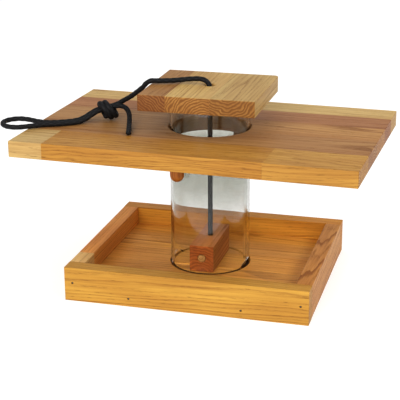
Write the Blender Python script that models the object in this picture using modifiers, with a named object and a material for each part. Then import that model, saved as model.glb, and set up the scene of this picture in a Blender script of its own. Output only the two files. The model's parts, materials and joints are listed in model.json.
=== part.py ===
"""Hanging bird feeder: oak seed tray, clear seed tube, oak roof, oak lid and a carrying cord.

Frame: metres, +Z up, origin on the tube's axis at the underside of the tray. +X runs along the
long side of the tray and the roof, -Y is the front. The boards are edge-glued from staves, and each
stave is an object of its own.
"""
import math

import bmesh
import bpy
from mathutils import Vector

# ---------------------------------------------------------------- driving sizes (metres)
GAP = 0.0003            # glue line, or running clearance between touching pieces
BOARD = 0.016           # thickness of the tray rails and floor, the roof and the lid

TUBE_OD = 0.080
TUBE_WALL = 0.0025
TUBE_CLEAR = 0.0012     # room around the tube in the roof's hole and in the tray's groove
GROOVE_DEPTH = 0.005    # groove in the tray floor that the tube stands in
OUTLET_W = 0.036        # arched seed outlets in the tube's bottom edge
OUTLET_RISE = 0.0055    # height of the arch above the floor

TRAY_L = 0.242
TRAY_D = 0.201
TRAY_H = 0.0345
RAIL_BLOCK_L = 0.0257   # short length butt-jointed at the front of the left rail
FLOOR_JOINTS = (-0.062, -0.020, 0.022, 0.060)

BAR_W = 0.024           # anchor bar across the inside of the tube's foot
BAR_H = 0.027
BAR_CLEAR = 0.0014      # room between the bar's corners and the tube's bore
DOWEL_D = 0.008
DOWEL_UP = 0.014        # dowel's axis above the tray floor

SCREW_D = 0.0038
SCREW_HEAD_D = 0.008
SCREW_INSET = 0.007     # from the bar's end to the screw
SCREW_GRIP = 0.019      # depth of thread in the bar
SCREW_OFF_DOWEL = 0.0016  # wood left between a screw and the dowel, which lies on the bar's middle line

BRAD_D = 0.0016
BRAD_L = 0.030
BRAD_FLOOR_X = 0.0558   # brads into the floor's edge, either side of the middle
BRAD_CORNER_Z = 0.0185

ROOF_L = 0.337
ROOF_D = 0.215
ROOF_UP = 0.1267        # underside of the roof above the tray floor
ROOF_TURN = math.radians(-2.3)  # the roof is a free turn on the tube and stands slightly askew
ROOF_JOINTS = (-0.059, -0.011, 0.0339, 0.0716)
ROOF_FRONT_CUTS = (-0.134, 0.081)  # butt joints in the front stave

PEG_D = 0.014           # grip pegs under the roof, either side of the tube
PEG_L = 0.031
PEG_ANGLE = math.radians(-116)

LID_L = 0.115
LID_D = 0.110
LID_ABOVE_ROOF = 0.0251  # from the roof's top to the lid's underside, on the tube's top edge
LID_JOINTS = (-0.030, 0.0135)
LID_CORNER_R = 0.004    # the back right corner is rounded off

CORD_D = 0.005
CORD_CLEAR = 0.0005     # room around the cord in its holes
CORD_MOUTH = 0.003      # the lid's cord hole is countersunk by this much all round
CORD_MOUTH_DEPTH = 0.004
CORD_SPLIT = 0.0038     # the cord inside ends this far below the lid's top, where the free end begins
STRAND_GAP = 0.0008     # between the two strands of the doubled cord
STOP_KNOT_D = 0.013     # stopper knot under the floor
STOP_CLEAR = 0.002
STOP_WEB = 0.005        # floor left above the knot's pocket

# Free end of the cord: over the lid, down into the knot on the roof, out to the carrying loop past
# the roof's left edge, back into the knot, and the short tail.
CORD_ROUTE = (
    (0, 0, 0.1960), (-0.0012, 0, 0.2005), (-0.0048, 0.0004, 0.2038), (-0.0105, 0.0008, 0.2050),
    (-0.0200, 0.0001, 0.2045), (-0.0285, -0.0018, 0.2037), (-0.0365, -0.0045, 0.2032),
    (-0.0440, -0.0076, 0.2032), (-0.0507, -0.0099, 0.2033), (-0.0572, -0.0110, 0.2030),
    (-0.0620, -0.0108, 0.2002), (-0.0655, -0.0100, 0.1962), (-0.0698, -0.0088, 0.1926),
    (-0.0745, -0.0070, 0.1888), (-0.0806, -0.0040, 0.1842), (-0.0862, -0.0008, 0.1806),
    (-0.0912, 0.0012, 0.1775), (-0.0974, 0.0004, 0.1740),
    (-0.1148, -0.0092, 0.1697), (-0.1285, -0.0222, 0.1622), (-0.1440, -0.0345, 0.1616),
    (-0.1585, -0.0392, 0.1616), (-0.1690, -0.0373, 0.1616), (-0.1795, -0.0333, 0.1616),
    (-0.1895, -0.0328, 0.1616), (-0.1969, -0.0385, 0.1616), (-0.1996, -0.0475, 0.1616),
    (-0.1962, -0.0572, 0.1616), (-0.1880, -0.0632, 0.1616), (-0.1783, -0.0630, 0.1616),
    (-0.1688, -0.0567, 0.1616), (-0.1580, -0.0478, 0.1616), (-0.1408, -0.0394, 0.1616),
    (-0.1250, -0.0271, 0.1622), (-0.1120, -0.0144, 0.1697), (-0.0946, -0.0048, 0.1737),
    (-0.0903, -0.0035, 0.1735), (-0.0860, -0.0049, 0.1723), (-0.0824, -0.0086, 0.1704),
    (-0.0793, -0.0140, 0.1676), (-0.0767, -0.0215, 0.1646), (-0.0743, -0.0300, 0.1623),
    (-0.0712, -0.0400, 0.1616), (-0.0664, -0.0565, 0.1616),
)
KNOT_TURNS = 2.2
KNOT_FROM = Vector((-0.0960, -0.0022, 0.1735))  # the doubled cord's line through the knot
KNOT_TO = Vector((-0.1134, -0.0118, 0.1700))

# ---------------------------------------------------------------- sizes that follow
TUBE_R = TUBE_OD / 2
BORE_R = TUBE_R - TUBE_WALL
FLOOR_TOP = BOARD
ROOF_Z = FLOOR_TOP + ROOF_UP
LID_Z = ROOF_Z + BOARD + LID_ABOVE_ROOF
TUBE_FOOT = FLOOR_TOP - GROOVE_DEPTH + GAP
TUBE_TOP = LID_Z - GAP
RAIL_X = TRAY_L / 2 - BOARD / 2
INNER_X = TRAY_L / 2 - BOARD
INNER_Y = TRAY_D / 2 - BOARD
BAR_Z = FLOOR_TOP + GAP
BAR_L = 2 * math.sqrt((BORE_R - BAR_CLEAR) ** 2 - (BAR_W / 2) ** 2)
DOWEL_Z = FLOOR_TOP + DOWEL_UP
SCREW_X = DOWEL_D / 2 + SCREW_D / 2 + SCREW_OFF_DOWEL
SCREW_Y = BAR_L / 2 - SCREW_INSET
CORD_HOLE_D = CORD_D + 2 * CORD_CLEAR
STOP_POCKET_DEPTH = BOARD - STOP_WEB
ROUND = 64


# ---------------------------------------------------------------- scene, collections, materials
for old in list(bpy.data.objects):
    bpy.data.objects.remove(old, do_unlink=True)

parts = bpy.data.collections.new("hanging_bird_feeder")
cutters = bpy.data.collections.new("cutters")
for collection in (parts, cutters):
    bpy.context.scene.collection.children.link(collection)


def material(name, colour, roughness, metallic=0.0, transmission=0.0):
    m = bpy.data.materials.new(name)
    m.use_nodes = True
    shader = m.node_tree.nodes["Principled BSDF"]
    shader.inputs["Base Color"].default_value = (*colour, 1.0)
    shader.inputs["Roughness"].default_value = roughness
    shader.inputs["Metallic"].default_value = metallic
    shader.inputs["Transmission Weight"].default_value = transmission
    return m


OAK = material("oak_oiled", (0.47, 0.24, 0.09), 0.45)
OAK_PALE = material("oak_pale", (0.58, 0.40, 0.20), 0.45)
OAK_DARK = material("oak_dark", (0.36, 0.16, 0.07), 0.45)
GLASS = material("clear_glass", (0.93, 0.95, 0.95), 0.02, transmission=1.0)
CORD = material("cord_black", (0.012, 0.012, 0.014), 0.8)
STEEL = material("steel_zinc", (0.55, 0.54, 0.52), 0.35, metallic=1.0)


# ---------------------------------------------------------------- building blocks
def add(name, mesh, mat, location=(0, 0, 0), parent=None, into=parts):
    obj = bpy.data.objects.new(name, mesh)
    into.objects.link(obj)
    obj.location = location
    obj.parent = parent
    if mat:
        mesh.materials.append(mat)
    if into is cutters:
        obj.hide_render = True
        obj.display_type = "WIRE"
    return obj


def mesh_from(bm, name):
    mesh = bpy.data.meshes.new(name)
    bm.to_mesh(mesh)
    bm.free()
    return mesh


def block_mesh(name, size, rounded=None, radius=0.0):
    """A box about its own centre. rounded=(x sign, y sign) rounds that one upright edge."""
    bm = bmesh.new()
    bmesh.ops.create_cube(bm, size=1.0)
    bmesh.ops.scale(bm, vec=size, verts=bm.verts)
    if rounded:
        upright = [e for e in bm.edges if all(v.co.x * rounded[0] > 0 and v.co.y * rounded[1] > 0 for v in e.verts)]
        bmesh.ops.bevel(bm, geom=upright, offset=radius, segments=5, profile=0.5, affect="EDGES")
    return mesh_from(bm, name)


def board(name, x, y, z, mat=OAK, parent=None, **corner):
    """A board from its (low, high) pairs in x, y and z."""
    size = [b - a for a, b in (x, y, z)]
    middle = [(a + b) / 2 for a, b in (x, y, z)]
    return add(name, block_mesh(name, size, **corner), mat, middle, parent)


def rod(name, radius, length, location, axis="Z", mat=None, parent=None, into=parts, sides=12):
    """A round bar of that length, centred on location, along X, Y or Z."""
    bm = bmesh.new()
    bmesh.ops.create_cone(bm, cap_ends=True, segments=sides, radius1=radius, radius2=radius, depth=length)
    obj = add(name, mesh_from(bm, name), mat, location, parent, into)
    obj.rotation_euler = {"X": (0, math.pi / 2, 0), "Y": (math.pi / 2, 0, 0), "Z": (0, 0, 0)}[axis]
    return obj


def turned(name, profile, mat=None, location=(0, 0, 0), parent=None, into=parts, steps=ROUND):
    """Turns a closed (radius, z) outline about Z. The outline runs down its outer side."""
    bm = bmesh.new()
    ring = [bm.verts.new((r, 0, z)) for r, z in profile]
    on_axis = profile[0][0] == 0 and profile[-1][0] == 0
    for a, b in zip(ring, ring[1:] if on_axis else ring[1:] + ring[:1]):
        bm.edges.new((a, b))
    obj = add(name, mesh_from(bm, name), mat, location, parent, into)
    screw = obj.modifiers.new("turn", "SCREW")
    screw.steps = screw.render_steps = steps
    screw.use_merge_vertices = True
    screw.merge_threshold = 0.00001
    screw.use_smooth_shade = False
    return obj


def cut(obj, *tools):
    for tool in tools:
        boolean = obj.modifiers.new(tool.name, "BOOLEAN")
        boolean.operation = "DIFFERENCE"
        boolean.object = tool


def smooth_route(points, step):
    """Points about every step metres along a smooth curve through the given points."""
    given = [Vector(p) for p in points]
    ends = [2 * given[0] - given[1], *given, 2 * given[-1] - given[-2]]
    fine = []
    for p0, p1, p2, p3 in zip(ends, ends[1:], ends[2:], ends[3:]):
        t1 = (p1 - p0).length ** 0.5
        t2 = t1 + (p2 - p1).length ** 0.5
        t3 = t2 + (p3 - p2).length ** 0.5
        for k in range(24):
            t = t1 + (t2 - t1) * k / 24
            a1, a2, a3 = p0.lerp(p1, t / t1), p1.lerp(p2, (t - t1) / (t2 - t1)), p2.lerp(p3, (t - t2) / (t3 - t2))
            b1, b2 = a1.lerp(a2, t / t2), a2.lerp(a3, (t - t1) / (t3 - t1))
            fine.append(b1.lerp(b2, (t - t1) / (t2 - t1)))
    fine.append(given[-1])
    along = [0.0]
    for a, b in zip(fine, fine[1:]):
        along.append(along[-1] + (b - a).length)
    count = max(2, round(along[-1] / step))
    route, i = [], 0
    for k in range(count + 1):
        target = along[-1] * k / count
        while i < len(fine) - 2 and along[i + 1] < target:
            i += 1
        share = (target - along[i]) / max(along[i + 1] - along[i], 1e-12)
        route.append(fine[i].lerp(fine[i + 1], min(1.0, share)))
    return route


def cord(name, points, parent=None):
    """A round cord along the points, as a poly curve with closed ends."""
    curve = bpy.data.curves.new(name, "CURVE")
    curve.dimensions = "3D"
    curve.bevel_depth = CORD_D / 2
    curve.bevel_resolution = 3
    curve.use_fill_caps = True
    curve.materials.append(CORD)
    line = curve.splines.new("POLY")
    line.points.add(len(points) - 1)
    for place, p in zip(line.points, points):
        place.co = (*p, 1.0)
    obj = bpy.data.objects.new(name, curve)
    parts.objects.link(obj)
    obj.parent = parent
    return obj


def axis_empty(name, turn=0.0):
    empty = bpy.data.objects.new(name, None)
    parts.objects.link(empty)
    empty.rotation_euler.z = turn
    return empty


# Each moving group hangs from an empty on the tube's axis, which is every joint's axis.
tube_axis = axis_empty("tube_axis")
roof_axis = axis_empty("roof_axis", ROOF_TURN)
lid_axis = axis_empty("lid_axis")
roof_axis.parent = lid_axis.parent = tube_axis

# ---------------------------------------------------------------- cutters
groove = turned("cut_groove", [
    (TUBE_R + TUBE_CLEAR, FLOOR_TOP + 0.002), (TUBE_R + TUBE_CLEAR, FLOOR_TOP - GROOVE_DEPTH),
    (BORE_R - 0.0005, FLOOR_TOP - GROOVE_DEPTH), (BORE_R - 0.0005, FLOOR_TOP + 0.002)], into=cutters)
roof_hole = rod("cut_roof_hole", TUBE_R + TUBE_CLEAR, BOARD * 2, (0, 0, ROOF_Z + BOARD / 2),
                into=cutters, sides=ROUND)
cord_hole = rod("cut_cord_hole", CORD_HOLE_D / 2, FLOOR_TOP + BAR_H + 0.01,
                (0, 0, (FLOOR_TOP + BAR_H) / 2), into=cutters, sides=16)
stop_pocket = rod("cut_stop_pocket", STOP_KNOT_D / 2 + STOP_CLEAR, STOP_POCKET_DEPTH * 2, (0, 0, 0),
                  into=cutters, sides=24)
lid_top = LID_Z + BOARD
lid_hole = turned("cut_lid_hole", [
    (0, lid_top + 0.002), (CORD_HOLE_D / 2 + CORD_MOUTH + 0.001, lid_top + 0.002),
    (CORD_HOLE_D / 2 + CORD_MOUTH, lid_top), (CORD_HOLE_D / 2, lid_top - CORD_MOUTH_DEPTH),
    (CORD_HOLE_D / 2, LID_Z - 0.002), (0, LID_Z - 0.002)], into=cutters, steps=20)
dowel_hole = rod("cut_dowel_hole", DOWEL_D / 2 + GAP, BAR_L / 2, (0, -BAR_L / 4 - CORD_D / 2, DOWEL_Z),
                 "Y", into=cutters, sides=20)


def screw_profile(grow):
    """Countersunk screw standing on its head, from the underside of the floor up into the bar."""
    shank, head = SCREW_D / 2 + grow, SCREW_HEAD_D / 2 + grow
    top = BAR_Z + SCREW_GRIP + grow
    bottom = -0.001 if grow else 0.0006
    return [(0, top), (shank, top - SCREW_D / 2), (shank, 0.0040), (head, 0.0012 + grow), (head, bottom), (0, bottom)]


screw_places = (("front", SCREW_X, -SCREW_Y), ("back", -SCREW_X, SCREW_Y))
screw_holes = {side: turned(f"cut_screw_{side}", screw_profile(GAP), None, (x, y, 0), into=cutters, steps=16)
               for side, x, y in screw_places}

brad_places = []
for side, sign in (("front", -1), ("back", 1)):
    for hand, x in (("left", -1), ("right", 1)):
        brad_places.append((f"brad_{side}_{hand}", sign, x * RAIL_X, BRAD_CORNER_Z))
        brad_places.append((f"brad_{side}_floor_{hand}", sign, x * BRAD_FLOOR_X, BOARD / 2))
brad_holes = {}
for name, sign, x, z in brad_places:
    brad_holes[name] = rod(f"cut_{name}", BRAD_D / 2 + GAP, BRAD_L + 0.002,
                           (x, sign * (TRAY_D / 2 - BRAD_L / 2 + 0.0007), z), "Y", into=cutters)

# ---------------------------------------------------------------- tray
full = (-TRAY_L / 2, TRAY_L / 2)
front_rail = board("tray_front_rail", full, (-TRAY_D / 2, -INNER_Y), (0, TRAY_H))
back_rail = board("tray_back_rail", full, (INNER_Y, TRAY_D / 2), (0, TRAY_H))
side_y = (-INNER_Y + GAP, INNER_Y - GAP)
block_end = side_y[0] + RAIL_BLOCK_L
left_block = board("tray_left_rail_block", (-TRAY_L / 2, -INNER_X), (side_y[0], block_end), (0, TRAY_H), OAK_PALE)
left_rail = board("tray_left_rail", (-TRAY_L / 2, -INNER_X), (block_end + GAP, side_y[1]), (0, TRAY_H))
right_rail = board("tray_right_rail", (INNER_X, TRAY_L / 2), side_y, (0, TRAY_H))

edges = (side_y[0] - GAP, *FLOOR_JOINTS, side_y[1] + GAP)
floor = [board(f"tray_floor_{k + 1}", (-INNER_X + GAP, INNER_X - GAP), (a + GAP / 2, b - GAP / 2), (0, BOARD))
         for k, (a, b) in enumerate(zip(edges, edges[1:]))]
spans = list(zip(edges, edges[1:]))


def cut_floor(tool, middle, reach):
    """Cuts each floor stave that lies within reach of y = middle."""
    for stave, (a, b) in zip(floor, spans):
        if a < middle + reach and b > middle - reach:
            cut(stave, tool)


cut_floor(groove, 0, TUBE_R + TUBE_CLEAR)
cut_floor(cord_hole, 0, CORD_HOLE_D / 2)
cut_floor(stop_pocket, 0, STOP_KNOT_D / 2 + STOP_CLEAR)
for side, x, y in screw_places:
    cut_floor(screw_holes[side], y, SCREW_HEAD_D / 2 + GAP)

for name, sign, x, z in brad_places:
    middle = sign * (TRAY_D / 2 - BRAD_L / 2 - GAP)
    rod(name, BRAD_D / 2, BRAD_L, (x, middle, z), "Y", STEEL)
    cut(front_rail if sign < 0 else back_rail, brad_holes[name])
    if "floor" in name:
        cut_floor(brad_holes[name], middle, BRAD_L / 2 + 2 * GAP)
    elif x > 0:
        cut(right_rail, brad_holes[name])
    elif sign > 0:
        cut(left_rail, brad_holes[name])
    else:
        cut(left_block, brad_holes[name])
        if block_end < middle + BRAD_L / 2 + 2 * GAP:
            cut(left_rail, brad_holes[name])

# ---------------------------------------------------------------- anchor bar, its dowel and screws
bar = board("anchor_bar", (-BAR_W / 2, BAR_W / 2), (-BAR_L / 2, BAR_L / 2), (BAR_Z, BAR_Z + BAR_H), OAK_DARK)
cut(bar, cord_hole, dowel_hole, *screw_holes.values())
dowel_back = -CORD_D / 2 - 2 * GAP
rod("bar_dowel", DOWEL_D / 2, BAR_L / 2 + dowel_back, (0, (dowel_back - BAR_L / 2) / 2, DOWEL_Z), "Y", OAK_PALE,
    sides=20)
for side, x, y in screw_places:
    turned(f"bar_screw_{side}", screw_profile(0), STEEL, (x, y, 0), steps=16)

# ---------------------------------------------------------------- seed tube with two arched outlets
tube = turned("glass_tube", [
    (TUBE_R, TUBE_TOP), (TUBE_R, TUBE_FOOT), (BORE_R, TUBE_FOOT), (BORE_R, TUBE_TOP)], GLASS, parent=tube_axis)
arch = rod("cut_outlets", OUTLET_W / 2, TUBE_OD * 1.5, (0, 0, TUBE_FOOT), "X", into=cutters, sides=32)
arch.scale = ((FLOOR_TOP + OUTLET_RISE - TUBE_FOOT) / (OUTLET_W / 2), 1, 1)
cut(tube, arch)

# ---------------------------------------------------------------- roof
roof_z = (ROOF_Z, ROOF_Z + BOARD)
rows = (-ROOF_D / 2, *ROOF_JOINTS, ROOF_D / 2)
tints = (OAK, OAK, OAK, OAK_DARK, OAK_PALE)
for k, (a, b) in enumerate(zip(rows, rows[1:])):
    y = (a + (GAP / 2 if k else 0), b - (GAP / 2 if k < 4 else 0))
    if k == 0:
        ends = (-ROOF_L / 2, *ROOF_FRONT_CUTS, ROOF_L / 2)
        names = ("roof_front_left", "roof_front", "roof_front_right")
    elif a < 0 < b:
        ends = (-ROOF_L / 2, 0, ROOF_L / 2)
        names = ("roof_middle_left", "roof_middle_right")
    else:
        ends = (-ROOF_L / 2, ROOF_L / 2)
        names = (f"roof_row_{k + 1}",)
    for i, (name, c, d) in enumerate(zip(names, ends, ends[1:])):
        x = (c + (GAP / 2 if i else 0), d - (GAP / 2 if i < len(names) - 1 else 0))
        stave = board(name, x, y, roof_z, OAK_PALE if name == "roof_front_left" else tints[k], roof_axis)
        if a < TUBE_R + TUBE_CLEAR and b > -TUBE_R - TUBE_CLEAR:
            cut(stave, roof_hole)

peg_r = PEG_D / 2
peg_out = TUBE_R + GAP + peg_r
peg_profile = [(0, 0), (peg_r, 0)] + [
    (peg_r * math.cos(a), -PEG_L + peg_r - peg_r * math.sin(a)) for a in (math.pi / 10 * i for i in range(5))
] + [(0, -PEG_L)]
for side, angle in (("front", PEG_ANGLE), ("back", PEG_ANGLE + math.pi)):
    turned(f"roof_peg_{side}", peg_profile, OAK,
           (peg_out * math.cos(angle), peg_out * math.sin(angle), ROOF_Z - GAP), roof_axis, steps=24)

# ---------------------------------------------------------------- lid
lid_x = (-LID_L / 2, *LID_JOINTS, LID_L / 2)
for k, (name, mat) in enumerate((("lid_left", OAK_DARK), ("lid_middle", OAK), ("lid_right", OAK))):
    x = (lid_x[k] + (GAP / 2 if k else 0), lid_x[k + 1] - (GAP / 2 if k < 2 else 0))
    corner = {"rounded": (1, 1), "radius": LID_CORNER_R} if k == 2 else {}
    stave = board(name, x, (-LID_D / 2, LID_D / 2), (LID_Z, lid_top), mat, lid_axis, **corner)
    if x[0] < 0 < x[1]:
        cut(stave, lid_hole)

# ---------------------------------------------------------------- cord
stop_height = STOP_POCKET_DEPTH - 2 * GAP
bm = bmesh.new()
bmesh.ops.create_uvsphere(bm, u_segments=16, v_segments=10, radius=STOP_KNOT_D / 2)
bmesh.ops.scale(bm, vec=(1, 1, stop_height / STOP_KNOT_D), verts=bm.verts)
add("cord_stop_knot", mesh_from(bm, "cord_stop_knot"), CORD, (0, 0, STOP_POCKET_DEPTH - GAP - stop_height / 2))

riser = (STOP_POCKET_DEPTH, lid_top - CORD_SPLIT - GAP)
rod("cord_riser", CORD_D / 2, riser[1] - riser[0], (0, 0, sum(riser) / 2), mat=CORD, sides=12)

free = smooth_route(CORD_ROUTE, 1.3 * CORD_D)
free.insert(1, free[0] + Vector((0, 0, 0.4 * CORD_D)))  # leaves the riser's end square
cord("cord_free", free, lid_axis)

# The knot's turns wind round the doubled cord.
along = (KNOT_TO - KNOT_FROM).normalized()
across = along.cross(Vector((0, 0, 1))).normalized()
upward = across.cross(along)
wind_r = (3 * CORD_D + STRAND_GAP) / 2 + 3 * GAP
pitch = CORD_D + 2 * GAP
centre = (KNOT_FROM + KNOT_TO) / 2
steps_per_turn = 14
steps = round(KNOT_TURNS * steps_per_turn)
turns = []
for k in range(steps + 1):
    angle = -2 * math.pi * k / steps_per_turn
    turns.append(centre + along * pitch * (k - steps / 2) / steps_per_turn
                 + (across * math.cos(angle) + upward * math.sin(angle)) * wind_r)
cord("cord_loop_knot", turns, lid_axis)
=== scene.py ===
"""Hanging bird feeder: an oak tray, a glass seed tube in a ring groove, a wide oak roof that turns on the
tube, a small lid, and one black braided cord that ends in a carrying loop."""

import json
import math

import bpy
from mathutils import Matrix, Vector

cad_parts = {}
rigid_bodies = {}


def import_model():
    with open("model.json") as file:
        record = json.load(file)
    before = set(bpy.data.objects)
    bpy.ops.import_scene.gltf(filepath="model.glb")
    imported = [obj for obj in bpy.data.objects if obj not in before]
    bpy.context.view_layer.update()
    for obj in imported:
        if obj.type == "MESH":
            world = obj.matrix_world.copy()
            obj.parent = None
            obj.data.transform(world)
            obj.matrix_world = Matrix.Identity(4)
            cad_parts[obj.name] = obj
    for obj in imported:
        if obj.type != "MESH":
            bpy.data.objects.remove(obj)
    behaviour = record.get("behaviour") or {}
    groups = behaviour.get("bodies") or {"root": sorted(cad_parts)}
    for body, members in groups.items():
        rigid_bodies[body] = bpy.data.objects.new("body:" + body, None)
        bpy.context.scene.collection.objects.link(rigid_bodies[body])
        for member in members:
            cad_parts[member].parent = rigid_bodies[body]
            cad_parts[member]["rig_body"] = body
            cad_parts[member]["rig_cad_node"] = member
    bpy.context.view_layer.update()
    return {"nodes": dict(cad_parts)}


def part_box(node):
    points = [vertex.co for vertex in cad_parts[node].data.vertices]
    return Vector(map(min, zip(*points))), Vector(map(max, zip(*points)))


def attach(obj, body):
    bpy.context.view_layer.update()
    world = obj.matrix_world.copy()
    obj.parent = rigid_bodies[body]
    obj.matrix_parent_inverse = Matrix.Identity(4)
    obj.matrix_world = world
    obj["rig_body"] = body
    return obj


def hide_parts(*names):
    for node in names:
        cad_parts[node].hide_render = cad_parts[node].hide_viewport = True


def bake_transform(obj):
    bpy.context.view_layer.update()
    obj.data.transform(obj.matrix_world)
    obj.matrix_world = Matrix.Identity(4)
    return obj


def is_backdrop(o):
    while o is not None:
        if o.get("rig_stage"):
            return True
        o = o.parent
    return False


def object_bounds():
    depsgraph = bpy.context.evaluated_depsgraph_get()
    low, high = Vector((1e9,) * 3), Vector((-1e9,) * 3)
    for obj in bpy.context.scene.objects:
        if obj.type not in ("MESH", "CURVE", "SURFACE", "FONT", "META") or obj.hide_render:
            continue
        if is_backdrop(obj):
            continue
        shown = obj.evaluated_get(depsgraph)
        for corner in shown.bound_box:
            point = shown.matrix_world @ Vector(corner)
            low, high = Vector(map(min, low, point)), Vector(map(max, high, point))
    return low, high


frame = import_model()

MM = 0.001
ROOF_TURN = math.radians(-2.3)   # the roof stands a little askew of the tray
GLUE_LINE = 0.12 * MM            # each glued face moves out by this, to close the joint
ARRIS = 0.8 * MM                 # the sanded edge of a board
SHARP = math.radians(40)         # an edge that turns more than this is broken
SMOOTH = math.radians(35)        # faces that turn less than this are shaded as one
FLAT = math.radians(0.4)         # faces that turn less than this are joined into one
WELD = 2e-6                      # points nearer than this, in metres, are joined into one
GROOVE_W = 3 * MM                # the ring of painted shade in the floor's groove, inwards from the tube's outside
CORD_D = 5 * MM

X, Y, Z = Vector((1, 0, 0)), Vector((0, 1, 0)), Vector((0, 0, 1))


# ---------------------------------------------------------------- camera and studio

def set_camera(azimuth, elevation, roll, lens, distance, across, up):
    """A camera that looks at a point beside the feeder's foot from the front right."""
    back = Vector((math.sin(azimuth) * math.cos(elevation),
                   -math.cos(azimuth) * math.cos(elevation), math.sin(elevation)))
    right = (-back).cross(Z).normalized()
    top = right.cross(-back)
    turned_right = math.cos(roll) * right + math.sin(roll) * top
    turned_top = math.cos(roll) * top - math.sin(roll) * right
    place = back * distance + turned_right * across + turned_top * up
    camera = bpy.data.objects.new("camera", bpy.data.cameras.new("camera"))
    bpy.context.scene.collection.objects.link(camera)
    camera.data.lens, camera.data.sensor_width = lens, 36
    camera.data.clip_start, camera.data.clip_end = 0.05, 50
    turn = Matrix((turned_right, turned_top, back)).transposed().to_4x4()
    camera.matrix_world = Matrix.Translation(place) @ turn
    bpy.context.scene.camera = camera


def softbox(name, place, target, width, height, watts, colour=(1, 1, 1)):
    """One soft area light that points at a target."""
    light = bpy.data.lights.new(name, "AREA")
    light.shape, light.size, light.size_y = "RECTANGLE", width, height
    light.energy, light.color = watts, colour
    lamp = bpy.data.objects.new(name, light)
    bpy.context.scene.collection.objects.link(lamp)
    lamp.location = place
    lamp.rotation_euler = (Vector(target) - Vector(place)).to_track_quat("-Z", "Y").to_euler()


set_camera(azimuth=0.2665, elevation=0.3338, roll=-0.0055, lens=108.02,
           distance=1.2414, across=-0.01078, up=0.07589)


# ---------------------------------------------------------------- finishes

class Wire:
    """A shader socket that takes part in sums."""

    def __init__(self, finish, socket):
        self.finish, self.socket = finish, socket

    def _sum(self, what, a, b):
        return self.finish.node("ShaderNodeMath", {"operation": what}, {0: a, 1: b})

    def __add__(self, other): return self._sum("ADD", self, other)
    def __radd__(self, other): return self._sum("ADD", other, self)
    def __sub__(self, other): return self._sum("SUBTRACT", self, other)
    def __rsub__(self, other): return self._sum("SUBTRACT", other, self)
    def __mul__(self, other): return self._sum("MULTIPLY", self, other)
    def __rmul__(self, other): return self._sum("MULTIPLY", other, self)
    def __truediv__(self, other): return self._sum("DIVIDE", self, other)


class Finish:
    """One procedural material, built round a Principled shader."""

    def __init__(self, name, **fixed):
        self.material = bpy.data.materials.new(name)
        self.material.use_nodes = True
        self.tree = self.material.node_tree
        self.shader = self.tree.nodes["Principled BSDF"]
        for socket, value in fixed.items():
            self.shader.inputs[socket.replace("_", " ")].default_value = value

    def node(self, kind, settings={}, inputs={}, out=0):
        """Adds a shader node; an input is a plain value or another node's wire."""
        made = self.tree.nodes.new(kind)
        for key, value in settings.items():
            if key == "stops":
                self._stops(made.color_ramp, value)
            else:
                setattr(made, key, value)
        for key, value in inputs.items():
            if isinstance(value, Wire):
                self.tree.links.new(value.socket, made.inputs[key])
            else:
                made.inputs[key].default_value = value
        return Wire(self, made.outputs[out])

    @staticmethod
    def _stops(ramp, stops):
        while len(ramp.elements) < len(stops):
            ramp.elements.new(0.5)
        for element, (place, shade) in zip(ramp.elements, stops):
            element.position, element.color = place, (shade, shade, shade, 1)

    def feed(self, socket, wire):
        self.tree.links.new(wire.socket, self.shader.inputs[socket])

    def place(self):
        return self.node("ShaderNodeTexCoord", out="Object")

    def vector(self, operation, a, b=(0, 0, 0), out=0):
        return self.node("ShaderNodeVectorMath", {"operation": operation}, {0: a, 1: b}, out)

    def height(self):
        """Height above the ground, in metres."""
        return self.node("ShaderNodeSeparateXYZ", {}, {0: self.place()}, 2)

    def noise(self, at, stretch, detail=2, rough=0.5, out=0):
        """Soft noise with so many cells to the unit along each axis."""
        return self.node("ShaderNodeTexNoise", {}, {
            "Vector": self.vector("MULTIPLY", at, stretch), "Scale": 1, "Detail": detail, "Roughness": rough}, out)

    def band(self, value, low, high, to_low=0.0, to_high=1.0):
        """A soft step from one value to another between two limits."""
        return self.node("ShaderNodeMapRange", {"interpolation_type": "SMOOTHSTEP"}, {
            "Value": value, "From Min": low, "From Max": high, "To Min": to_low, "To Max": to_high})

    def blend(self, share, a, b, how="MIX"):
        return self.node("ShaderNodeMix", {"data_type": "RGBA", "blend_type": how}, {0: share, 6: a, 7: b}, 2)

    def ramp(self, value, stops):
        return self.node("ShaderNodeValToRGB", {"stops": stops}, {0: value})

    def bump(self, height, strength, distance):
        self.feed("Normal", self.node("ShaderNodeBump", {}, {
            "Height": height, "Strength": strength, "Distance": distance}))


def rgba(colour):
    return (*colour, 1)


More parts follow.
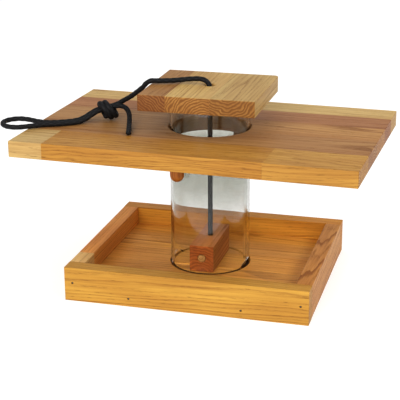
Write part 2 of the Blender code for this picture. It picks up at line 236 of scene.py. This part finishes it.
def oak(name, low, high, along, wood, pith=(14, -22), tilt=(1.2, 0.8), ring=2.4, figure=1.0, lines=0.6, ends=0.6,
        wave=0.9, groove=None):
    """Oiled oak cut from a log: growth rings round a pith that lies off the board, in millimetres."""
    finish = Finish(name, Roughness=0.44, IOR=1.46, Specular_IOR_Level=0.3)
    dark = (wood[0] * 0.50, wood[1] * 0.38, wood[2] * 0.30, 1)
    drift = (wood[0] * 0.80, wood[1] * 0.70, wood[2] * 0.62, 1)
    centre = (Vector(low) + Vector(high)) / 2 / MM
    turn = {"x": Matrix.Identity(3), "y": Matrix.Rotation(-math.pi / 2, 3, "Z"),
            "z": Matrix.Rotation(math.pi / 2, 3, "Y")}[along]
    lean = Matrix.Rotation(math.radians(tilt[0]), 3, "Y") @ Matrix.Rotation(math.radians(tilt[1]), 3, "Z")
    whole = lean @ turn
    start = -(whole @ centre) - Vector((0, pith[0], pith[1]))
    log = finish.node("ShaderNodeMapping", {"vector_type": "POINT"}, {
        "Vector": finish.place(), "Location": start, "Rotation": whole.to_euler(), "Scale": (1 / MM,) * 3})

    seed = sum(ord(c) * (i + 3) for i, c in enumerate(name)) % 97
    sown = finish.vector("ADD", log, (seed * 37.0, seed * 11.0, seed * 5.0))
    waved = log
    for cells, push in (((0.0045, 0.022, 0.022), 9 * figure), ((0.030, 0.150, 0.150), wave * figure)):
        wander = finish.vector("SUBTRACT", finish.noise(sown, cells, out="Color"), (0.5,) * 3)
        waved = finish.vector("ADD", waved, finish.vector("MULTIPLY", wander, (0, push, push)))
    radius = finish.vector("LENGTH", finish.vector("MULTIPLY", waved, (0, 1, 1)), out=1)
    seasons = finish.noise(waved, (0.002, 0.10, 0.10), 1)
    rings = radius / ring + seasons * 2.6
    year = finish.node("ShaderNodeMath", {"operation": "FRACT"}, {0: rings})
    count = finish.node("ShaderNodeMath", {"operation": "FLOOR"}, {0: rings})
    growth = finish.ramp(year, [(0.0, 0.35), (0.06, 1.0), (0.22, 0.80), (0.46, 0.16), (0.80, 0.0), (1.0, 0.35)])
    strength = finish.node("ShaderNodeTexWhiteNoise", {"noise_dimensions": "1D"}, {"W": count})
    end = finish.node("ShaderNodeAttribute", {"attribute_name": "end_grain"}, out="Fac")

    fibre = finish.noise(sown, (0.035, 1.9, 1.9), 3, 0.6)
    streak = finish.noise(sown, (0.010, 0.42, 0.42), 3, 0.6)
    vessel = finish.noise(sown, (0.14, 2.6, 2.6), 1, 0.4)
    pores = finish.band(vessel, 0.58, 0.66) * finish.band(growth, 0.2, 0.8)
    broad = finish.band(finish.noise(sown, (0.007, 0.045, 0.045), 2), 0.35, 0.65)

    marked = growth * ((0.12 + 1.15 * strength * strength) * lines + end * ends)
    darkening = marked + (fibre - 0.5) * 0.75 + (streak - 0.5) * 1.25
    share = finish.band(darkening, -0.45, 1.05)
    oiled = finish.blend(broad * 0.8, rgba(wood), drift)
    oiled = finish.blend(share, oiled, dark)
    oiled = finish.blend(end * min(0.95, ends * 0.6), oiled, (0.66, 0.46, 0.27, 1), "MULTIPLY")
    oiled = finish.blend(pores * 0.5, oiled, rgba(Vector(dark[:3]) * 0.5))
    if groove:   # painted shade in the tube's groove: near black between two radii and below a height
        inner, outer, brim = groove
        reach = finish.vector("LENGTH", finish.vector("MULTIPLY", finish.place(), (1, 1, 0)), out=1)
        ring_shaped = finish.band(reach, inner - MM, inner) * finish.band(reach, outer, outer + MM, 1.0, 0.0)
        groove_shade = ring_shaped * finish.band(finish.height(), brim - 0.5 * MM, brim - 0.1 * MM, 1.0, 0.0)
        oiled = finish.blend(groove_shade * 0.9, oiled, (0.015, 0.008, 0.005, 1))
    finish.feed("Base Color", oiled)
    finish.feed("Roughness", 0.44 + share * 0.10 + pores * 0.18 + (streak - 0.5) * 0.10)
    finish.bump(fibre * 0.35 - growth * 0.35 - pores * 0.9, 0.35, 0.00022)
    return finish.material


def clear_glass(name):
    """Clear tube with faint drawing lines and wiped marks; painted shade darkens its edges and greys a band round
    its middle.
    """
    finish = Finish(name, Roughness=0.0, IOR=1.47, Transmission_Weight=1.0)
    shadow = finish.node("ShaderNodeLightPath", out="Is Shadow Ray")
    finish.feed("Alpha", 1 - 0.9 * shadow)   # clear glass hardly casts a shadow
    marks = finish.noise(finish.place(), (55.0, 55.0, 30.0), 4, 0.6)
    # painted shade: a grey band round the tube's middle darkens what is seen through the glass, with a ragged edge
    ragged_height = finish.height() + (marks - 0.5) * 0.03
    backdrop_shade_band = finish.band(ragged_height, 0.045, 0.115) * finish.band(ragged_height, 0.150, 0.165, 1.0, 0.0)
    shaded_tint = finish.blend(backdrop_shade_band, (0.97, 0.975, 0.97, 1), (0.55, 0.555, 0.505, 1))
    # painted shade: the glass turns near black where its surface turns away, drawing a dark edge on each side
    grazing = finish.node("ShaderNodeLayerWeight", {}, {"Blend": 0.5}, "Facing")
    finish.feed("Base Color", finish.blend(finish.band(grazing, 0.72, 0.95), shaded_tint, (0.12, 0.13, 0.13, 1)))
    finish.feed("Roughness", finish.band(marks, 0.5, 0.8, 0.0, 0.02))
    finish.bump(finish.noise(finish.place(), (160.0, 160.0, 3.0)), 0.10, 0.0003)
    return finish.material


def black_braid(name):
    """Black polyester braid with painted shade in the creases between its strands and a painted highlight of dark
    grey on their crowns.
    """
    finish = Finish(name, Roughness=0.7, IOR=1.45, Specular_IOR_Level=0.35)
    crown = finish.node("ShaderNodeAttribute", {"attribute_name": "crown"}, out="Fac")
    lint = finish.noise(finish.place(), (2600.0,) * 3, 2, 0.6)
    share = crown * 0.8 + (lint - 0.5) * 0.5
    # painted shade and highlight: near black in the creases, dark grey on the crowns, with random lint
    finish.feed("Base Color", finish.blend(share, (0.002, 0.002, 0.0025, 1), (0.012, 0.012, 0.014, 1)))
    finish.feed("Roughness", 0.82 - crown * 0.22 + (lint - 0.5) * 0.2)
    finish.bump(lint, 0.5, 0.00012)
    return finish.material


def zinc_steel(name):
    """Weathered zinc-plated steel with fine turning marks and dull blotches."""
    finish = Finish(name, Metallic=1.0, Roughness=0.38)
    blotch = finish.noise(finish.place(), (700.0,) * 3, 3, 0.6)
    marks = finish.noise(finish.place(), (400.0, 400.0, 6000.0), 1)
    finish.feed("Base Color", finish.blend(blotch, (0.06, 0.05, 0.045, 1), (0.20, 0.18, 0.16, 1)))
    finish.feed("Roughness", 0.28 + blotch * 0.25)
    finish.bump(marks, 0.2, 0.00005)
    return finish.material


# ---------------------------------------------------------------- tools of the workshop

def alone(piece):
    """Only this piece is selected and active."""
    bpy.ops.object.select_all(action="DESELECT")
    piece.select_set(True)
    bpy.context.view_layer.objects.active = piece


def take(node, name):
    """A merged copy of a solid, ready to be worked on."""
    piece = frame["nodes"][node].copy()
    piece.data = piece.data.copy()
    piece.parent, piece.name = None, name
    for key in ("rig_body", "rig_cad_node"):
        del piece[key]
    bpy.context.scene.collection.objects.link(piece)
    piece.data.materials.clear()
    alone(piece)
    bpy.ops.object.mode_set(mode="EDIT")
    bpy.ops.mesh.select_mode(type="VERT")
    bpy.ops.mesh.select_all(action="SELECT")
    bpy.ops.mesh.remove_doubles(threshold=WELD)
    bpy.ops.mesh.dissolve_limited(angle_limit=FLAT)
    bpy.ops.object.mode_set(mode="OBJECT")
    return piece


def end_faces(piece, way):
    """The flat faces that look along a direction at the piece's far end."""
    way = Vector(way).normalized()
    reach = max(v.co.dot(way) for v in piece.data.vertices)
    return [f.index for f in piece.data.polygons
            if f.normal.dot(way) > 0.999 and reach - f.center.dot(way) < 0.05 * MM]


def close_joint(piece, way):
    """Moves a glued face out, so that two glued staves read as one board."""
    faces = end_faces(piece, way)
    for f in piece.data.polygons:
        f.select = f.index in faces
    for e in piece.data.edges:
        e.select = False
    for v in piece.data.vertices:
        v.select = any(v.index in piece.data.polygons[i].vertices for i in faces)
    bpy.ops.object.mode_set(mode="EDIT")
    bpy.ops.mesh.select_mode(type="FACE")
    bpy.ops.transform.translate(value=Vector(way).normalized() * GLUE_LINE)
    bpy.ops.object.mode_set(mode="OBJECT")


def break_edges(piece, width, glued=(), segments=2):
    """Rounds every sharp edge except those round a glued face."""
    kept = {e for way in glued for i in end_faces(piece, way) for e in piece.data.polygons[i].edge_keys}
    facing = {}
    for f in piece.data.polygons:
        for key in f.edge_keys:
            facing.setdefault(key, []).append(f.normal)
    weight = piece.data.attributes.new("bevel_weight_edge", "FLOAT", "EDGE")
    for e in piece.data.edges:
        sides = facing.get(e.key, [])
        sharp = len(sides) == 2 and sides[0].angle(sides[1], 0) > SHARP
        weight.data[e.index].value = 1.0 if sharp and e.key not in kept else 0.0
    alone(piece)
    bevel = piece.modifiers.new("arris", "BEVEL")
    bevel.limit_method, bevel.width, bevel.segments = "WEIGHT", width, segments
    bevel.use_clamp_overlap = True
    bpy.ops.object.modifier_apply(modifier="arris")
    bpy.ops.object.shade_smooth_by_angle(angle=SMOOTH)
    piece.modifiers.new("face_normals", "WEIGHTED_NORMAL").keep_sharp = True
    bpy.ops.object.modifier_apply(modifier="face_normals")


def mark_end_grain(piece, along):
    """Notes how squarely each face cuts across the grain."""
    axis = {"x": 0, "y": 1, "z": 2}[along]
    noted = piece.data.attributes.new("end_grain", "FLOAT", "CORNER")
    for f in piece.data.polygons:
        for corner in f.loop_indices:
            noted.data[corner].value = abs(f.normal[axis]) ** 2


def dress(piece, material, body, node):
    """Gives a finished piece its material and its body, and hides the solid it stands for."""
    piece.data.materials.append(material)
    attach(piece, body)
    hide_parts(node)


# ---------------------------------------------------------------- oak boards

ROOF_X = Matrix.Rotation(ROOF_TURN, 3, "Z") @ X
ROOF_Y = Matrix.Rotation(ROOF_TURN, 3, "Z") @ Y

# body, solid, grain, glued sides, slot, and how the stave was cut from its log
BOARDS = [
    ("tray", "tray_front_rail", "x", (), "oak",
     dict(wood=(0.600, 0.345, 0.060), pith=(-30, 16), tilt=(1.4, 0.6), ring=2.6, lines=0.62, wave=1.8)),
    ("tray", "tray_back_rail", "x", (), "oak",
     dict(wood=(0.720, 0.355, 0.047), pith=(26, -20), tilt=(0.8, 0.4), ring=2.2, lines=0.75)),
    ("tray", "tray_right_rail", "y", (Y, -Y), "oak",
     dict(wood=(0.585, 0.285, 0.065), pith=(3, -16), tilt=(3.5, 1.0), ring=2.8, figure=1.6, lines=1.1, wave=1.6)),
    ("tray", "tray_left_rail", "y", (Y, -Y), "oak",
     dict(wood=(0.850, 0.400, 0.085), pith=(-24, -20), tilt=(0.6, 0.5), ring=2.3)),
    ("tray", "tray_left_rail_block", "y", (Y, -Y), "oak_pale",
     dict(wood=(0.840, 0.580, 0.230), pith=(20, -26), ring=2.8, lines=0.4)),
    ("tray", "tray_floor_1", "x", (X, -X, Y, -Y), "oak",
     dict(wood=(0.740, 0.400, 0.095), pith=(20, -30), ring=2.6)),
    ("tray", "tray_floor_2", "x", (X, -X, Y, -Y), "oak",
     dict(wood=(0.780, 0.420, 0.085), pith=(-8, -34), tilt=(1.8, 0.4), ring=3.0)),
    ("tray", "tray_floor_3", "x", (X, -X, Y, -Y), "oak",
     dict(wood=(0.800, 0.420, 0.080), pith=(30, -18), ring=2.2)),
    ("tray", "tray_floor_4", "x", (X, -X, Y, -Y), "oak",
     dict(wood=(0.740, 0.400, 0.095), pith=(-26, -20), ring=2.6)),
    ("tray", "tray_floor_5", "x", (X, -X, Y, -Y), "oak",
     dict(wood=(0.800, 0.420, 0.080), pith=(12, -30), ring=2.4)),
    ("tray", "anchor_bar", "y", (), "oak_dark",
     dict(wood=(0.66, 0.270, 0.072), pith=(1, -22), tilt=(0.8, 0.6), ring=3.6, figure=1.1, lines=1.4, ends=1.6)),
    ("tray", "bar_dowel", "y", (), "oak_pale",
     dict(wood=(0.62, 0.400, 0.150), pith=(0, 1), tilt=(0.3, 0.2), ring=2.6, figure=0.3, lines=0.6)),
    ("roof", "roof_front", "x", (ROOF_Y, ROOF_X, -ROOF_X), "oak",
     dict(wood=(0.500, 0.265, 0.048), pith=(-20, -22), tilt=(1.6, 1.0), ring=2.8, figure=2.2, lines=0.65, wave=2.6)),
    ("roof", "roof_front_left", "x", (ROOF_Y, ROOF_X), "oak_pale",
     dict(wood=(0.600, 0.435, 0.180), pith=(24, -22), ring=2.4, lines=0.5)),
    ("roof", "roof_front_right", "x", (ROOF_Y, -ROOF_X), "oak",
     dict(wood=(0.530, 0.300, 0.062), pith=(-12, 24), tilt=(4.0, 1.5), ring=2.8, figure=1.8, lines=0.55, wave=2.4)),
    ("roof", "roof_row_2", "x", (ROOF_Y, -ROOF_Y), "oak",
     dict(wood=(0.435, 0.235, 0.080), pith=(-6, -34), tilt=(1.0, 0.5), ring=2.8)),
    ("roof", "roof_middle_left", "x", (ROOF_Y, -ROOF_Y), "oak",
     dict(wood=(0.440, 0.240, 0.085), pith=(22, -26), ring=2.4)),
    ("roof", "roof_middle_right", "x", (ROOF_Y, -ROOF_Y), "oak",
     dict(wood=(0.50, 0.270, 0.085), pith=(18, -30), tilt=(1.8, 0.6), ring=2.6)),
    ("roof", "roof_row_4", "x", (ROOF_Y, -ROOF_Y), "oak_dark",
     dict(wood=(0.420, 0.200, 0.076), pith=(-20, -26), ring=2.2, lines=0.5)),
    ("roof", "roof_row_5", "x", (-ROOF_Y,), "oak_pale",
     dict(wood=(0.640, 0.460, 0.180), pith=(26, -24), ring=2.6, lines=0.4)),
    ("lid", "lid_left", "y", (X,), "oak_dark",
     dict(wood=(0.400, 0.212, 0.066), pith=(30, -34), ring=2.5, figure=0.35, lines=0.7, ends=1.2)),
    ("lid", "lid_middle", "y", (X, -X), "oak",
     dict(wood=(0.600, 0.415, 0.150), pith=(-20, -20), ring=2.7, figure=0.4, lines=0.5, ends=1.5)),
    ("lid", "lid_right", "y", (-X,), "oak",
     dict(wood=(0.570, 0.410, 0.155), pith=(6, 22), ring=2.9, figure=0.4, lines=0.55, ends=1.8)),
    ("roof", "roof_peg_front", "z", (), "oak",
     dict(wood=(0.520, 0.200, 0.030), pith=(3, 6), ring=2.0, figure=0.5)),
    ("roof", "roof_peg_back", "z", (), "oak",
     dict(wood=(0.520, 0.200, 0.030), pith=(5, -4), ring=2.0, figure=0.5)),
]

tube_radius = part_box("glass_tube")[1].x
for body, node, grain, glued, slot, cut in BOARDS:
    low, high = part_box(node)
    if node.startswith("tray_floor"):
        # the floor staves get painted shade in the tube's groove
        cut["groove"] = (tube_radius - GROOVE_W, tube_radius, high.z)
    board = take(node, node + "_planed")
    for way in glued:
        close_joint(board, way)
    break_edges(board, ARRIS, glued)
    mark_end_grain(board, grain)
    dress(board, oak(node + "_oil", low, high, grain, **cut), body, node)


# ---------------------------------------------------------------- glass tube

tube = take("glass_tube", "seed_tube")
break_edges(tube, 0.7 * MM, segments=3)
dress(tube, clear_glass("clear_tube_glass"), "tube", "glass_tube")


# ---------------------------------------------------------------- brads and screws

HEX_R, HEX_DEPTH = 1.5 * MM, 2 * MM
steel = zinc_steel("zinc_plated_steel")
for side in ("front", "back"):
    for spot in ("left", "right", "floor_left", "floor_right"):
        node = f"brad_{side}_{spot}"
        brad = take(node, node + "_driven")
        break_edges(brad, 0.2 * MM)
        dress(brad, steel, "tray", node)
    node = f"bar_screw_{side}"
    screw = take(node, node + "_driven")
    low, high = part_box(node)
    centre = (low + high) / 2
    bpy.ops.object.select_all(action="DESELECT")
    bpy.ops.mesh.primitive_cylinder_add(
        vertices=6, radius=HEX_R, depth=2 * HEX_DEPTH, location=(centre.x, centre.y, low.z))
    key = bpy.context.object
    alone(screw)
    socket = screw.modifiers.new("hex", "BOOLEAN")
    socket.operation, socket.object, socket.solver = "DIFFERENCE", key, "EXACT"
    bpy.ops.object.modifier_apply(modifier="hex")
    bpy.data.objects.remove(key)
    break_edges(screw, 0.15 * MM)
    dress(screw, steel, "tray", node)


# ---------------------------------------------------------------- braided cord

STEP = 0.5 * MM         # between two rings of a cord's mesh
MELTED_END = 1.2 * MM   # length over which a cut end is melted round

braid = black_braid("black_braid")


def smooth_route(points):
    """Centripetal Catmull-Rom curve through the points, with a point every step."""
    points = [Vector(p) for p in points]
    points = [2 * points[0] - points[1]] + points + [2 * points[-1] - points[-2]]
    fine = []
    for a, b, c, d in zip(points, points[1:], points[2:], points[3:]):
        t0, t1 = 0.0, (b - a).length ** 0.5
        t2 = t1 + (c - b).length ** 0.5
        t3 = t2 + (d - c).length ** 0.5
        count = max(6, int((c - b).length / STEP * 2))
        for i in range(count):
            t = t1 + (t2 - t1) * i / count
            a1 = a.lerp(b, (t - t0) / (t1 - t0))
            a2 = b.lerp(c, (t - t1) / (t2 - t1))
            a3 = c.lerp(d, (t - t2) / (t3 - t2))
            b1 = a1.lerp(a2, (t - t0) / (t2 - t0))
            b2 = a2.lerp(a3, (t - t1) / (t3 - t1))
            fine.append(b1.lerp(b2, (t - t1) / (t2 - t1)))
    fine.append(points[-2])
    return even(fine)


def even(line):
    """The same line with its points evenly spaced."""
    along = [0.0]
    for a, b in zip(line, line[1:]):
        along.append(along[-1] + (b - a).length)
    count = max(2, round(along[-1] / STEP))
    out, k = [], 0
    for i in range(count + 1):
        at = along[-1] * i / count
        while k < len(line) - 2 and along[k + 1] < at:
            k += 1
        out.append(line[k].lerp(line[k + 1], (at - along[k]) / max(along[k + 1] - along[k], 1e-9)))
    return out


def braided(name, line, diameter, round_start=False, round_end=False):
    """A cord swept along a line, with the diamond crowns of its braid in the mesh."""
    sides, strands, lay = 32, 8, diameter * 1.5
    last = len(line) - 1
    tangents = [(line[min(i + 1, last)] - line[max(i - 1, 0)]).normalized() for i in range(last + 1)]
    across = tangents[0].cross(Z if abs(tangents[0].z) < 0.9 else X).normalized()
    verts, crowns, along = [], [], 0.0
    total = sum((b - a).length for a, b in zip(line, line[1:]))
    for i, (point, tangent) in enumerate(zip(line, tangents)):
        if i:
            along += (point - line[i - 1]).length
        across = (across - tangent * across.dot(tangent)).normalized()
        side = tangent.cross(across)
        ends = [along] * round_start + [total - along] * round_end
        rounded = [math.sqrt(max(0.0, 1 - (1 - min(1, end / MELTED_END)) ** 2)) * 0.75 + 0.25 for end in ends]
        shrink = min([1.0] + rounded)
        for k in range(sides):
            turn = k / sides
            one = abs(math.sin(math.pi * (turn * strands / 2 + along / lay)))
            two = abs(math.sin(math.pi * (turn * strands / 2 - along / lay)))
            crown = (one * two) ** 0.5
            radius = diameter / 2 * (0.90 + 0.10 * crown) * shrink
            outward = across * math.cos(turn * math.tau) + side * math.sin(turn * math.tau)
            verts.append(point + outward * radius)
            crowns.append(crown)
    faces = [(i * sides + k, i * sides + (k + 1) % sides, (i + 1) * sides + (k + 1) % sides, (i + 1) * sides + k)
             for i in range(last) for k in range(sides)]
    for ring, point in ((0, line[0]), (last, line[-1])):
        hub = len(verts)
        verts.append(point)
        crowns.append(0.0)
        for k in range(sides):
            a, b = ring * sides + k, ring * sides + (k + 1) % sides
            faces.append((hub, b, a) if ring == 0 else (hub, a, b))
    mesh = bpy.data.meshes.new(name)
    mesh.from_pydata(verts, [], faces)
    mesh.attributes.new("crown", "FLOAT", "POINT").data.foreach_set("value", crowns)
    piece = bpy.data.objects.new(name, mesh)
    bpy.context.scene.collection.objects.link(piece)
    alone(piece)
    bpy.ops.object.shade_smooth()
    piece.data.materials.append(braid)
    return piece


CORD_ROUTE = [
    (0, 0, 0.1960), (-0.0012, 0, 0.2005), (-0.0048, 0.0004, 0.2038), (-0.0105, 0.0008, 0.2050),
    (-0.0200, 0.0001, 0.2045), (-0.0285, -0.0018, 0.2037), (-0.0365, -0.0045, 0.2032), (-0.0440, -0.0076, 0.2032),
    (-0.0507, -0.0099, 0.2033), (-0.0572, -0.0110, 0.2030), (-0.0620, -0.0108, 0.2002), (-0.0655, -0.0100, 0.1962),
    (-0.0698, -0.0088, 0.1926), (-0.0745, -0.0070, 0.1888), (-0.0806, -0.0040, 0.1842), (-0.0862, -0.0008, 0.1806),
    (-0.0912, 0.0012, 0.1775), (-0.0974, 0.0004, 0.1740), (-0.1148, -0.0092, 0.1697), (-0.1285, -0.0222, 0.1622),
    (-0.1440, -0.0345, 0.1616), (-0.1585, -0.0392, 0.1616), (-0.1690, -0.0373, 0.1616), (-0.1795, -0.0333, 0.1616),
    (-0.1895, -0.0328, 0.1616), (-0.1969, -0.0385, 0.1616), (-0.1996, -0.0475, 0.1616), (-0.1962, -0.0572, 0.1616),
    (-0.1880, -0.0632, 0.1616), (-0.1783, -0.0630, 0.1616), (-0.1688, -0.0567, 0.1616), (-0.1580, -0.0478, 0.1616),
    (-0.1408, -0.0394, 0.1616), (-0.1250, -0.0271, 0.1622), (-0.1120, -0.0144, 0.1697), (-0.0946, -0.0048, 0.1737),
    (-0.0903, -0.0035, 0.1735), (-0.0860, -0.0049, 0.1723), (-0.0824, -0.0086, 0.1704), (-0.0793, -0.0140, 0.1676),
    (-0.0767, -0.0215, 0.1646), (-0.0743, -0.0300, 0.1623), (-0.0712, -0.0400, 0.1616), (-0.0664, -0.0565, 0.1616)]
KNOT_FROM, KNOT_TO = Vector((-0.0960, -0.0022, 0.1735)), Vector((-0.1134, -0.0118, 0.1700))

free_line = smooth_route(CORD_ROUTE)
free = braided("cord_free_braid", free_line, CORD_D, round_end=True)

# the closing knot: both strands wrapped once round the pair, which shows as two slanting turns side by side
axis = (KNOT_TO - KNOT_FROM).normalized()
level = axis.cross(Z).normalized()
upright = level.cross(axis)
centre = (KNOT_FROM + KNOT_TO) / 2 - Z * 2.2 * MM
KNOT_TURNS, KNOT_PITCH, KNOT_SLANT = 2.35, 4.9 * MM, 2.8 * MM
KNOT_REACH, KNOT_TUCK = 7.6 * MM, 3.4 * MM   # from its axis, and how far its two ends tuck in
winding = []
for i in range(241):
    t = i / 240
    angle = -math.tau * KNOT_TURNS * t
    reach = KNOT_REACH - KNOT_TUCK * abs(2 * t - 1) ** 7
    slide = KNOT_PITCH * KNOT_TURNS * (t - 0.5) + KNOT_SLANT * math.sin(angle)
    winding.append(centre + axis * slide + (level * math.cos(angle) + upright * math.sin(angle)) * reach)
knot = braided("cord_loop_knot_braid", even(winding), 1.2 * CORD_D, True, True)
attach(knot, "tube")
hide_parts("cord_loop_knot")

# the stopper knot under the floor: two tight turns in its pocket
low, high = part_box("cord_stop_knot")
middle = (low + high) / 2
STOP_TURNS, STOP_REACH, STOP_RISE = 1.9, 3.9 * MM, 5.2 * MM
turns = []
for i in range(91):
    angle = i / 90 * math.tau * STOP_TURNS
    turns.append(Vector((middle.x + STOP_REACH * math.cos(angle), middle.y + STOP_REACH * math.sin(angle),
                         low.z + CORD_D / 2 + STOP_RISE * angle / (math.tau * STOP_TURNS))))
stopper = braided("cord_stop_knot_braid", even(turns), CORD_D, True, True)
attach(stopper, "tray")
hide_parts("cord_stop_knot")

# the cord inside the feeder, in two lengths that meet at one height
SPLIT = Vector((0, 0, 0.140))
lower = braided("cord_riser_lower", even([Vector((0, 0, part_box("cord_riser")[0].z)), SPLIT]), CORD_D)
upper = braided("cord_riser_upper", even([SPLIT, Vector(CORD_ROUTE[0])]), CORD_D)
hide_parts("cord_riser")
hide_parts("cord_riser")
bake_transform(lower)
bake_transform(upper)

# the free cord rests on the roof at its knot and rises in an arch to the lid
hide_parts("cord_free")
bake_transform(free)


# ---------------------------------------------------------------- studio

bpy.ops.object.select_all(action="DESELECT")
bpy.ops.mesh.primitive_plane_add(size=16, location=(0, 0, -0.0002))
floor = bpy.context.object
floor.name = "studio_floor"
paper = Finish("white_paper", Base_Color=(0.55, 0.55, 0.55, 1), Roughness=0.9,
               Emission_Color=(1, 1, 1, 1), Emission_Strength=0.56)
floor.data.materials.append(paper.material)
floor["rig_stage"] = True

world = bpy.data.worlds.new("studio")
world.use_nodes = True
world.node_tree.nodes["Background"].inputs["Color"].default_value = (1, 1, 1, 1)
world.node_tree.nodes["Background"].inputs["Strength"].default_value = 0.74
bpy.context.scene.world = world
softbox("front_softbox", (-0.25, -1.6, 0.85), (0, 0, 0.06), 1.1, 0.8, 21, (1.0, 0.98, 0.95))
softbox("side_softbox", (1.25, -0.35, 1.2), (0, 0, 0.1), 0.8, 0.6, 11)
bpy.context.scene.view_settings.gamma = 0.86
bpy.context.scene.view_settings.view_transform = "Standard"

low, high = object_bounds()
